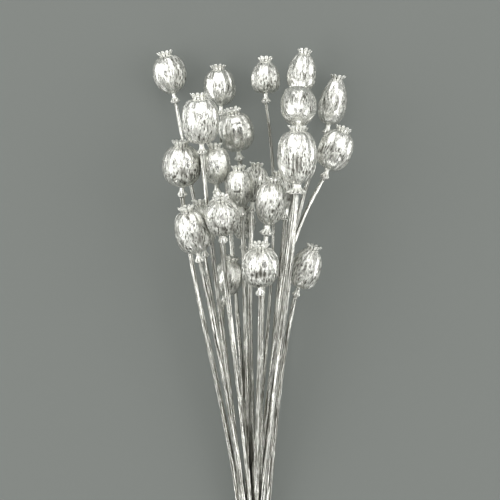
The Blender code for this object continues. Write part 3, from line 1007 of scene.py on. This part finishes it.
def mixed_colour(tree, factor, low, high):
    node = tree.nodes.new("ShaderNodeMix")
    node.data_type = "RGBA"
    tree.links.new(factor, node.inputs[0])
    for socket, value in ((node.inputs[6], low), (node.inputs[7], high)):
        if isinstance(value, tuple):
            socket.default_value = (*value, 1.0)
        else:
            tree.links.new(value, socket)
    return node.outputs[2]


def silver(name, group, stretch, fleck_amount, bright, dark, smooth, rough, depth):
    material = bpy.data.materials.new(name)
    material.use_nodes = True
    tree = material.node_tree
    shader = tree.nodes["Principled BSDF"]
    leaf = tree.nodes.new("ShaderNodeGroup")
    leaf.node_tree = group
    leaf.inputs["Stretch"].default_value = stretch
    leaf.inputs["Fleck Amount"].default_value = fleck_amount
    tree.links.new(attribute_node(tree, "grain_place").outputs["Vector"], leaf.inputs["Place"])
    tree.links.new(attribute_node(tree, "hollow").outputs["Fac"], leaf.inputs["Painted Shade"])
    tree.links.new(attribute_node(tree, "wrinkled").outputs["Fac"], leaf.inputs["Wrinkled"])
    # The silver darkens to the bare colour at flecks and as painted shade in hollows.
    tree.links.new(mixed_colour(tree, leaf.outputs["Flecks and Shade"], bright, dark), shader.inputs["Base Color"])
    roughness = tree.nodes.new("ShaderNodeMapRange")
    tree.links.new(leaf.outputs["Patches"], roughness.inputs["Value"])
    roughness.inputs["To Min"].default_value = smooth
    roughness.inputs["To Max"].default_value = rough
    tree.links.new(roughness.outputs["Result"], shader.inputs["Roughness"])
    shader.inputs["Metallic"].default_value = SILVER_METALLIC
    bump = tree.nodes.new("ShaderNodeBump")
    bump.inputs["Strength"].default_value = 1.0
    bump.inputs["Distance"].default_value = depth
    tree.links.new(leaf.outputs["Relief"], bump.inputs["Height"])
    tree.links.new(bump.outputs["Normal"], shader.inputs["Normal"])
    return material


def silver_finishes():
    """The three finishes, in the order of the skins' numbers."""
    group = leaf_metal_group()
    return [silver(name, group, *values) for name, values in SILVERS.items()]


def jute():
    """Twisted plant fibre, dull and brown, with shade painted between its plies."""
    material = bpy.data.materials.new("jute_twine")
    material.use_nodes = True
    tree = material.node_tree
    shader = tree.nodes["Principled BSDF"]
    place = attribute_node(tree, "grain_place").outputs["Vector"]
    fibres = noise_node(tree, stretched(tree, place, FIBRE_STRETCH), *FIBRE_GRAIN)
    tone = noise_node(tree, stretched(tree, place, TONE_STRETCH), *TONE_GRAIN)
    shade = raised(tree, fibres, FIBRE_SHARE, math_node(tree, "MULTIPLY", tone, TONE_SHARE))
    colour = mixed_colour(tree, between(tree, shade, *JUTE_EDGE), DARK_JUTE, PALE_JUTE)
    # Shade painted between the plies.
    hollow = math_node(tree, "MULTIPLY", attribute_node(tree, "hollow").outputs["Fac"], JUTE_HOLLOW_SHADE)
    tree.links.new(mixed_colour(tree, hollow, colour, JUTE_IN_PAINTED_SHADE), shader.inputs["Base Color"])
    shader.inputs["Roughness"].default_value = JUTE_ROUGHNESS
    bump = tree.nodes.new("ShaderNodeBump")
    bump.inputs["Distance"].default_value = JUTE_RELIEF
    tree.links.new(fibres, bump.inputs["Height"])
    tree.links.new(bump.outputs["Normal"], shader.inputs["Normal"])
    return material


# The pieces.


def show(name, surface, finishes):
    points = put_in_place(np.concatenate([np.asarray(ring) for ring in surface.points]))
    faces, skins = surface.faces()
    mesh = bpy.data.meshes.new(name)
    mesh.from_pydata(points.tolist(), [], faces)
    for finish in finishes:
        mesh.materials.append(finish)
    mesh.polygons.foreach_set("material_index", skins)
    places = np.concatenate([np.asarray(place) for place in surface.places]).astype(np.float32)
    hollows = np.concatenate([np.asarray(hollow) for hollow in surface.hollows]).astype(np.float32)
    wrinkles = np.concatenate(surface.wrinkles).astype(np.float32)
    mesh.attributes.new("grain_place", "FLOAT_VECTOR", "POINT").data.foreach_set("vector", places.ravel())
    # The shade painted on each point.
    mesh.attributes.new("hollow", "FLOAT", "POINT").data.foreach_set("value", hollows)
    mesh.attributes.new("wrinkled", "FLOAT", "POINT").data.foreach_set("value", wrinkles)
    mesh.shade_smooth()
    mesh.validate()
    piece = bpy.data.objects.new(name, mesh)
    bpy.context.scene.collection.objects.link(piece)
    return piece


def make_seed_head(head, slot, number, lines, finishes):
    random = np.random.default_rng(HEAD_SEED + number)
    surface = Surface()
    stem_surface(surface, head, slot, number, random, lines)
    knob_surface(surface, head, number, random)
    capsule_surface(surface, head, number, random)
    crown_surface(surface, head, number, random)
    piece = show("silver_" + head[0], surface, finishes)
    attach(piece, "root")
    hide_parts(head[0])


def make_tie():
    surface = Surface()
    twine_surface(surface, np.random.default_rng(TWINE_SEED))
    piece = show("jute_twine_tie", surface, (jute(),))
    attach(piece, "root")
    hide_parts("twine_tie")


def make_floor():
    bpy.ops.mesh.primitive_plane_add(size=FLOOR_SIZE, location=(0, 0, 0))
    floor = bpy.context.object
    floor.name = "floor"
    material = bpy.data.materials.new("floor")
    material.use_nodes = True
    shader = material.node_tree.nodes["Principled BSDF"]
    shader.inputs["Base Color"].default_value = (*FLOOR_COLOUR, 1.0)
    shader.inputs["Emission Color"].default_value = (*FLOOR_GLOW, 1.0)
    shader.inputs["Emission Strength"].default_value = FLOOR_GLOW_STRENGTH
    shader.inputs["Roughness"].default_value = FLOOR_ROUGHNESS
    floor.data.materials.append(material)


def area_light(name, place, aim, size, power):
    data = bpy.data.lights.new(name, "AREA")
    data.shape = "RECTANGLE"
    data.size, data.size_y = size
    data.energy = power
    light = bpy.data.objects.new(name, data)
    light.location = place
    light.visible_camera = False
    direction = np.array(aim, float) - np.array(place, float)
    light.rotation_euler = Vector(direction).to_track_quat("-Z", "Y").to_euler()
    bpy.context.scene.collection.objects.link(light)


def make_studio():
    for name, values in SOFTBOXES.items():
        area_light(name, *values)
    world = bpy.data.worlds.new("studio")
    world.use_nodes = True
    tree = world.node_tree
    tree.nodes["Background"].inputs["Color"].default_value = (*BACKDROP_COLOUR, 1.0)
    seen = tree.nodes.new("ShaderNodeLightPath").outputs["Is Camera Ray"]
    strength = raised(tree, seen, BACKDROP_PALER, BACKDROP_LIGHT)
    tree.links.new(strength, tree.nodes["Background"].inputs["Strength"])
    bpy.context.scene.world = world
    bpy.context.scene.view_settings.view_transform = "Standard"
    bpy.context.scene.view_settings.look = "High Contrast"


def make_camera():
    data = bpy.data.cameras.new("camera")
    pixels_across = (CAMERA_HEIGHT - SCALE_HEIGHT) / MM_PER_PIXEL
    data.angle = 2 * math.atan(PHOTO_PIXELS / 2 / pixels_across)
    camera = bpy.data.objects.new("camera", data)
    place = np.array([VIEW_ACROSS + TIE_ACROSS, VIEW_ALONG + TIE_ALONG, CAMERA_HEIGHT]) * MM
    camera.location = place
    bpy.context.scene.collection.objects.link(camera)
    bpy.context.scene.camera = camera


make_camera()
make_floor()
make_studio()
SILVER_FINISHES = silver_finishes()
SLOTS = slot_of_each()
LINES = [stem_line(head, slot, number)[0] for number, (head, slot) in enumerate(zip(HEADS, SLOTS))]
for number, (head, slot) in enumerate(zip(HEADS, SLOTS)):
    make_seed_head(head, slot, number, LINES, SILVER_FINISHES)
make_tie()
